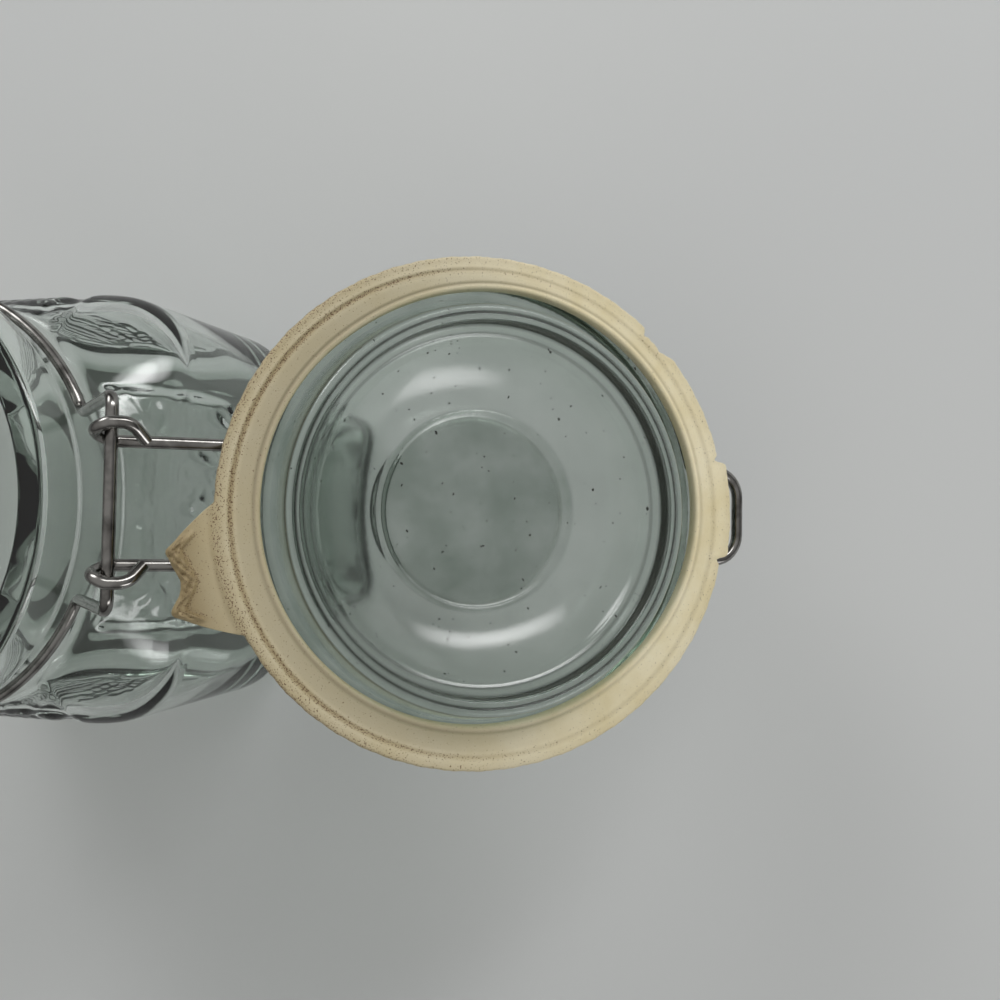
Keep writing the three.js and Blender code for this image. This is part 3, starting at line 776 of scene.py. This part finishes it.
def lever_route():
    """From the handle up to the crank, out to an arm, up it to the pivot and inwards through the eye."""
    half = [
        (HANDLE_X, CRANK_Y - HANDLE_KICK, CRANK_Z - HANDLE_DROP),
        (HANDLE_X, CRANK_Y + HANDLE_TUCK, CRANK_Z - HANDLE_TUCK_DROP),
        (HANDLE_X, CRANK_Y, CRANK_Z),
        (LEVER_ARM_X, CRANK_Y, CRANK_Z),
        (LEVER_ARM_X, PIVOT_Y, PIVOT_Z),
        (PIVOT_X - PIVOT_STUB, PIVOT_Y, PIVOT_Z),
    ]
    return mirrored(half) + half


def link_route():
    """From the loop's end along a side to the eye on the crank, as long as it takes to reach the catch."""
    reach = math.hypot(CRANK_Y - LINK_SEAT_Y, CRANK_Z - LINK_SEAT_Z)
    length = math.sqrt(reach ** 2 - EYE_RADIUS ** 2)
    half = [(LINK_X, -EYE_RADIUS, -length)]
    half += [(LINK_X, y, z) for y, z in arc(0, 0, EYE_RADIUS, 180, -90, 28)]
    c, s = math.cos(math.radians(LINK_HANG)), math.sin(math.radians(LINK_HANG))
    half = [(x, CRANK_Y + y * c - z * s, CRANK_Z + y * s + z * c) for x, y, z in half]
    return mirrored(half) + half


def wire_tree():
    """Geometry Nodes that turn a route of edges into round wire."""
    tree = bpy.data.node_groups.new("drawn_wire", "GeometryNodeTree")
    tree.interface.new_socket("Route", in_out="INPUT", socket_type="NodeSocketGeometry")
    tree.interface.new_socket("Radius", in_out="INPUT", socket_type="NodeSocketFloat")
    tree.interface.new_socket("Sides", in_out="INPUT", socket_type="NodeSocketInt")
    tree.interface.new_socket("Wire", in_out="OUTPUT", socket_type="NodeSocketGeometry")
    start = add(tree, "NodeGroupInput")
    curve = add(tree, "GeometryNodeMeshToCurve", {"Mesh": start.outputs["Route"]})
    section = add(tree, "GeometryNodeCurvePrimitiveCircle",
                  {"Resolution": start.outputs["Sides"], "Radius": start.outputs["Radius"]})
    tube = add(tree, "GeometryNodeCurveToMesh",
               {"Curve": curve.outputs["Curve"], "Profile Curve": section.outputs["Curve"]})
    tube.inputs["Fill Caps"].default_value = True
    whole = add(tree, "GeometryNodeRealizeInstances", {"Geometry": tube.outputs["Mesh"]})
    coat = add(tree, "GeometryNodeSetMaterial", {"Geometry": whole.outputs["Geometry"]}, Material=steel)
    add(tree, "NodeGroupOutput", {"Wire": coat.outputs["Geometry"]})
    return tree


def wire(name, route):
    """One bent wire along a route in millimetres."""
    route = np.array(route) * MM
    guide = bpy.data.meshes.new(name + "_route")
    guide.from_pydata(route.tolist(), [(i, i + 1) for i in range(len(route) - 1)], [])
    piece = bpy.data.objects.new(name, guide)
    bpy.context.scene.collection.objects.link(piece)
    modifier = piece.modifiers.new("drawn_wire", "NODES")
    modifier.node_group = wire_nodes
    sockets = {item.name: item.identifier for item in wire_nodes.interface.items_tree}
    modifier[sockets["Radius"]] = WIRE_RADIUS * MM
    modifier[sockets["Sides"]] = WIRE_SIDES
    evaluated = piece.evaluated_get(bpy.context.evaluated_depsgraph_get())
    mesh = bpy.data.meshes.new_from_object(evaluated)
    mesh.name = name
    piece.modifiers.remove(modifier)
    piece.data = mesh
    bpy.data.meshes.remove(guide)
    mesh.polygons.foreach_set("use_smooth", [len(p.vertices) == 4 for p in mesh.polygons])
    return piece


glass = pressed_soda_glass()
rubber = aged_natural_rubber()
steel = drawn_steel_wire()
wire_nodes = wire_tree()

fit(jar(), "jar", "jar_body")
fit(lid(), "lid", "lid")
fit(seal(), "lid", "seal")
fit(wire("lid_wire_round", swing_open(bent(lid_wire_route()))), "lid", "lid_wire")
fit(wire("neck_wire_round", bent(neck_wire_route())), "jar", "neck_wire")
fit(wire("lever_wire", bent(lever_route())), "lever", "latch_lever")
fit(wire("link_wire", bent(link_route())), "link", "latch_link")


# Table, light and camera, in metres
TABLE_HALF = 4.0
LID_MIDDLE = (0, 0.12, 0.07)
ACROSS = (0, 0.655, -0.755)
# Makes the mean of x (1 - x) y (1 - y) over a lamp equal to 1
FADE_PEAK = 36.0


def matt_table():
    """Matt laminate: pale grey, with a faint cloudiness."""
    material, tree = finish_of("matt_grey_table")
    place = add(tree, "ShaderNodeTexCoord").outputs["Object"]
    cloud = add(tree, "ShaderNodeTexNoise", {"Vector": place}, Scale=1 / (260 * MM), Detail=1.0)
    tone = add(tree, "ShaderNodeValToRGB", {"Fac": cloud.outputs["Fac"]})
    tone.color_ramp.elements[0].position = 0.3
    tone.color_ramp.elements[0].color = linear("#C6C8C8")
    tone.color_ramp.elements[1].position = 0.7
    tone.color_ramp.elements[1].color = linear("#CDCFCE")
    surface = add(tree, "ShaderNodeBsdfPrincipled", {"Base Color": tone.outputs["Color"]}, Roughness=0.75)
    add(tree, "ShaderNodeOutputMaterial", {"Surface": surface.outputs["BSDF"]})
    return material


def table():
    """A plain table top, wide enough to fill the view from any side."""
    corners = [(x * TABLE_HALF, y * TABLE_HALF, 0) for x, y in ((-1, -1), (1, -1), (1, 1), (-1, 1))]
    mesh = bpy.data.meshes.new("table_top")
    mesh.from_pydata(corners, [], [(0, 1, 2, 3)])
    mesh.materials.append(matt_table())
    top = bpy.data.objects.new("table_top", mesh)
    bpy.context.scene.collection.objects.link(top)


def lamp(name, place, along, long, wide, power):
    """A soft rectangular lamp aimed at the lid, with its long side along a given way, in metres and watts.
    It fades from its middle to its edges."""
    data = bpy.data.lights.new(name, "AREA")
    data.shape = "RECTANGLE"
    data.size = long
    data.size_y = wide
    data.energy = power
    data.use_nodes = True
    tree = data.node_tree
    face = add(tree, "ShaderNodeNewGeometry")
    rest = add(tree, "ShaderNodeVectorMath", {1: face.outputs["Parametric"]}, operation="SUBTRACT")
    rest.inputs[0].default_value = (1, 1, 1)
    arch = add(tree, "ShaderNodeVectorMath", {0: face.outputs["Parametric"], 1: rest.outputs["Vector"]},
               operation="MULTIPLY")
    sides = add(tree, "ShaderNodeSeparateXYZ", {"Vector": arch.outputs["Vector"]})
    dome = add(tree, "ShaderNodeMath", {0: sides.outputs["X"], 1: sides.outputs["Y"]}, operation="MULTIPLY")
    level = add(tree, "ShaderNodeMath", {0: dome.outputs["Value"]}, operation="MULTIPLY")
    level.inputs[1].default_value = FADE_PEAK
    tree.links.new(level.outputs["Value"], tree.nodes["Emission"].inputs["Strength"])
    light = bpy.data.objects.new(name, data)
    back = (Vector(place) - Vector(LID_MIDDLE)).normalized()
    up = back.cross(Vector(along)).normalized()
    turn = Matrix((up.cross(back), up, back)).transposed().to_4x4()
    light.matrix_world = Matrix.Translation(place) @ turn
    bpy.context.scene.collection.objects.link(light)


def sky(horizon, zenith, backdrop):
    """A plain room: dim at the level of the table, brighter overhead. The camera sees an even backdrop."""
    world = bpy.data.worlds.new("studio")
    bpy.context.scene.world = world
    world.use_nodes = True
    tree = world.node_tree
    way = add(tree, "ShaderNodeTexCoord")
    height = add(tree, "ShaderNodeSeparateXYZ", {"Vector": way.outputs["Generated"]})
    level = add(tree, "ShaderNodeMapRange", {"Value": height.outputs["Z"]}, From_Min=0.1, From_Max=0.8)
    level.inputs["To Min"].default_value = horizon
    level.inputs["To Max"].default_value = zenith
    path = add(tree, "ShaderNodeLightPath")
    seen = add(tree, "ShaderNodeMix", {0: path.outputs["Is Camera Ray"], 2: level.outputs["Result"]})
    seen.inputs[3].default_value = backdrop
    tree.nodes["Background"].inputs["Color"].default_value = linear("#FAF9F7")
    tree.links.new(seen.outputs[0], tree.nodes["Background"].inputs["Strength"])


def camera(place, back, up, lens):
    """The photograph's camera: its place in millimetres, the way behind it, the way up and its lens."""
    back = Vector(back).normalized()
    right = Vector(up).cross(back).normalized()
    up = back.cross(right)
    data = bpy.data.cameras.new("camera")
    data.sensor_width = 36
    data.lens = lens
    data.clip_start = 0.01
    view = bpy.data.objects.new("camera", data)
    turn = Matrix((right, up, back)).transposed().to_4x4()
    view.matrix_world = Matrix.Translation(Vector(place) * MM) @ turn
    bpy.context.scene.collection.objects.link(view)
    bpy.context.scene.camera = view


table()
lamp("front_window", (0.68, 0.85, 0.24), ACROSS, 0.9, 0.32, 2.4)
lamp("back_window", (-0.8, 0.72, 0.58), ACROSS, 1.3, 0.3, 5.4)
lamp("side_window", (-0.95, -0.5, 0.7), (0, 1, 0), 0.7, 0.7, 5)
sky(0.12, 0.53, 0.45)
camera((3.9, 179.8, 257.8), (0.0309, 0.2709, 0.9621), (-0.9994, -0.0065, 0.034), 36.0)
bpy.context.scene.view_settings.view_transform = "Standard"
